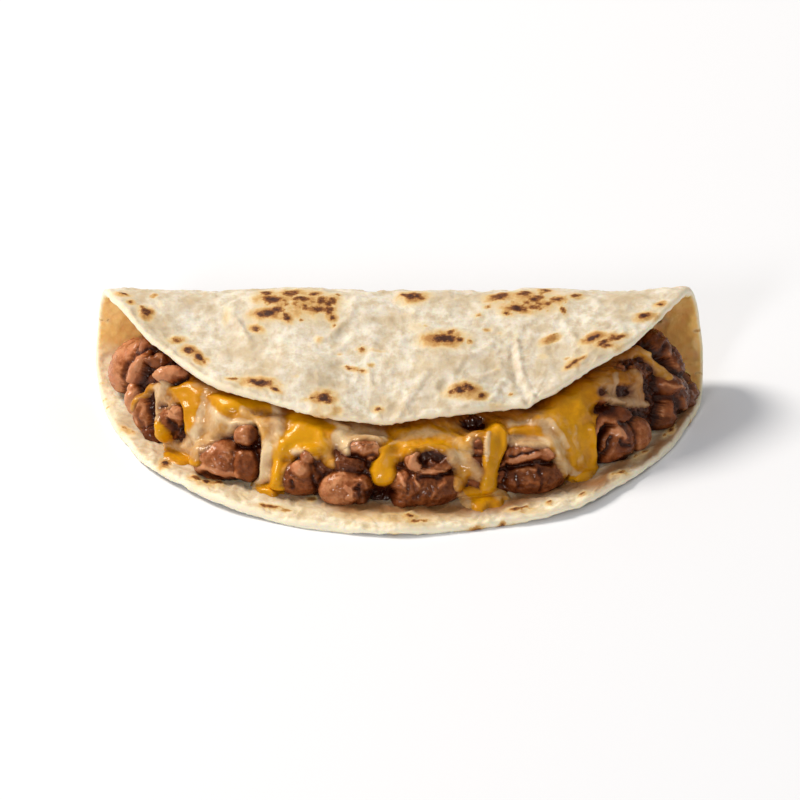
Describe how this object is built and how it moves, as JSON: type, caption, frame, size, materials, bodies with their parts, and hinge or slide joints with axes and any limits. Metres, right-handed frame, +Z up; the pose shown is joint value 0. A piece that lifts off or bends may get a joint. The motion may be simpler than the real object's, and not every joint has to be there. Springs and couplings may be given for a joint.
{
  "type": "bean and cheese taco",
  "caption": "Soft flour tortilla folded over a heap of whole and mashed beans under melted yellow and white cheese that runs down the open front.",
  "frame": {"origin": "on the surface the taco lies on, under the middle of its bounding box", "axes": "+X along the fold, +Y from the open front to the fold at the back, +Z up through the two flaps"},
  "size_m": [0.1804, 0.0952, 0.037],
  "materials": {
    "tortilla": "matte baked flour dough, cream with brown griddle spots",
    "beans": "moist cooked bean skin and mash, reddish brown",
    "cheese": "glossy melted cheese, yellow streaked with white"
  },
  "bodies": {
    "root": {"tortilla": "tortilla", "beans": "beans", "cheese": "cheese"}
  },
  "joints": []
}
